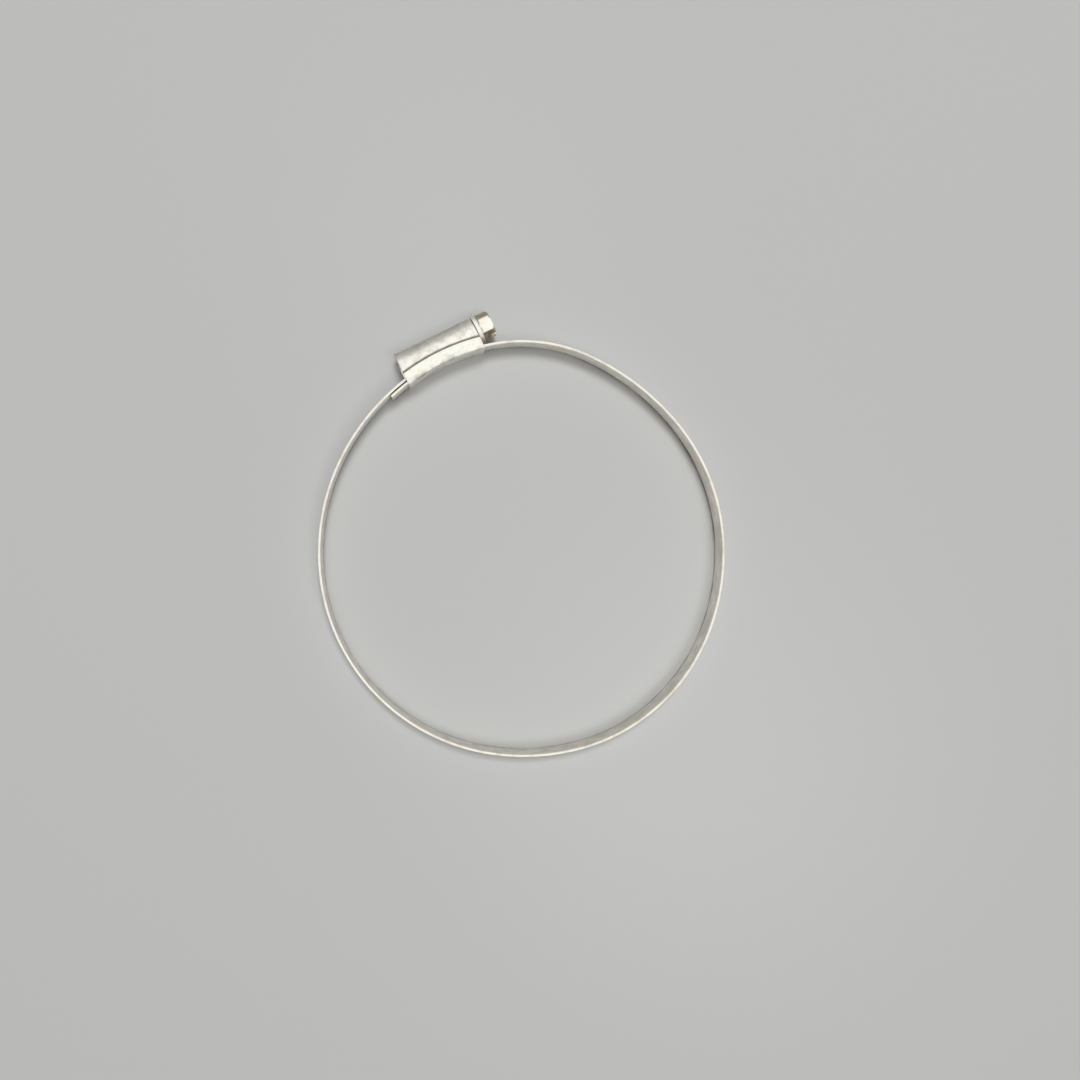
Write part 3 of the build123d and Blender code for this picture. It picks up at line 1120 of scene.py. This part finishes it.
def addCamera():
    place = Vector(cameraView["place"])
    forward = (Vector(cameraView["aimsAt"]) - place).normalized()
    turn = math.radians(cameraView["turn"])
    right = forward.cross(Vector((math.sin(turn), math.cos(turn), 0))).normalized()
    turned = Matrix((right, right.cross(forward), -forward)).transposed()
    data = bpy.data.cameras.new("camera")
    data.sensor_width = cameraView["sensor"]
    data.lens = cameraView["lens"]
    data.clip_start = cameraView["clipStart"]
    camera = bpy.data.objects.new("camera", data)
    camera.matrix_world = Matrix.Translation(place) @ turned.to_4x4()
    scene.collection.objects.link(camera)
    scene.camera = camera
    print("camera placed")


stageLook = dict(
    farRim=(-61.0 * mm, -4.5 * mm),       # y and z of what the clamp rests on:
    lowFlank=(59.7 * mm, -6.19 * mm),     # the rim opposite the housing, and the saddle's edge
    size=6.0,
    colour=(0.47, 0.475, 0.47),
    roughness=0.32,
    specular=0.2,
    metallic=0.3,                         # mirrors the foot of the clamp faintly
    fade=(0.35, 1.3),                     # from the lit floor into the backdrop, by distance
    backdrop=(0.53, 0.535, 0.53),
)


def floorMaterial():
    look = stageLook
    material = bpy.data.materials.new("floor")
    material.use_nodes = True
    tree = material.node_tree
    shader = tree.nodes["Principled BSDF"]
    shader.inputs["Base Color"].default_value = (*look["colour"], 1)
    shader.inputs["Roughness"].default_value = look["roughness"]
    shader.inputs["Specular IOR Level"].default_value = look["specular"]
    shader.inputs["Metallic"].default_value = look["metallic"]
    reach = putNode(tree, "ShaderNodeVectorMath", operation="LENGTH")
    feed(reach.inputs[0], putNode(tree, "ShaderNodeTexCoord").outputs["Object"])
    far = rise(reach.outputs["Value"], *look["fade"])
    seen = putNode(tree, "ShaderNodeLightPath").outputs["Is Camera Ray"]
    glow = putNode(tree, "ShaderNodeEmission")
    glow.inputs["Color"].default_value = (*look["backdrop"], 1)
    blend = putNode(tree, "ShaderNodeMixShader")
    feed(blend.inputs[0], times(far, seen))
    feed(blend.inputs[1], shader.outputs[0])
    feed(blend.inputs[2], glow.outputs[0])
    feed(tree.nodes["Material Output"].inputs["Surface"], blend.outputs[0])
    return material


def addFloor():
    # tilted a little, because the clamp rests on the saddle's flank and on its far rim
    (farY, farZ), (lowY, lowZ) = stageLook["farRim"], stageLook["lowFlank"]
    slope = (lowZ - farZ) / (lowY - farY)
    half = stageLook["size"] / 2
    corners = [(x, y, farZ + slope * (y - farY))
               for x, y in ((-half, -half), (half, -half), (half, half), (-half, half))]
    mesh = bpy.data.meshes.new("floor")
    mesh.from_pydata(corners, [], [(0, 1, 2, 3)])
    mesh.materials.append(floorMaterial())
    newObject("floor", mesh)


lampLook = [
    dict(name="key", place=(0.24, 0.51, 1.86), size=0.42, power=28.0),
    dict(name="fill", place=(0.21, -0.60, 1.80), size=0.62, power=9.0),
]


def addLamps():
    for look in lampLook:
        data = bpy.data.lights.new(look["name"], "AREA")
        data.shape = "SQUARE"
        data.size = look["size"]
        data.energy = look["power"]
        spot = Vector(look["place"])
        turned = spot.to_track_quat("Z", "Y").to_matrix()
        lamp = bpy.data.objects.new(look["name"], data)
        lamp.matrix_world = Matrix.Translation(spot) @ turned.to_4x4()
        lamp.visible_glossy = False   # bare metal mirrors the room alone, with no hot spots
        scene.collection.objects.link(lamp)


worldLook = dict(
    light=(0.12, 0.12, 0.12),
    horizon=(0.38, 0.375, 0.36),
    zenith=(1.10, 1.09, 1.06),
    edge=(0.0, 0.66),           # heights between which the room brightens
)


def addWorld():
    # a soft even light, a pale backdrop, and a room that metal mirrors, brighter overhead
    world = bpy.data.worlds.new("studio")
    scene.world = world
    world.use_nodes = True
    tree = world.node_tree
    heading = putNode(tree, "ShaderNodeTexCoord").outputs["Generated"]
    height = rise(axes(heading)["Z"], *worldLook["edge"])
    room = tint(height, worldLook["horizon"], worldLook["zenith"])
    ray = putNode(tree, "ShaderNodeLightPath").outputs
    mirrored = larger(ray["Is Glossy Ray"], ray["Is Transmission Ray"])
    colour = tint(mirrored, worldLook["light"], room)
    colour = tint(ray["Is Camera Ray"], colour, stageLook["backdrop"])
    feed(tree.nodes["Background"].inputs["Color"], colour)
    scene.view_settings.view_transform = "Standard"


addCamera()
addFloor()
addLamps()
addWorld()
print("stage ready")


makeBand(wornSteel("band steel", bandSteel, bandDetail))
makeSaddle(wornSteel("saddle steel", saddleSteel, saddleDetail))
makeHousing(wornSteel("housing steel", housingSteel, housingDetail))
makeScrew(wornSteel("screw zinc", screwZinc, screwDetail))
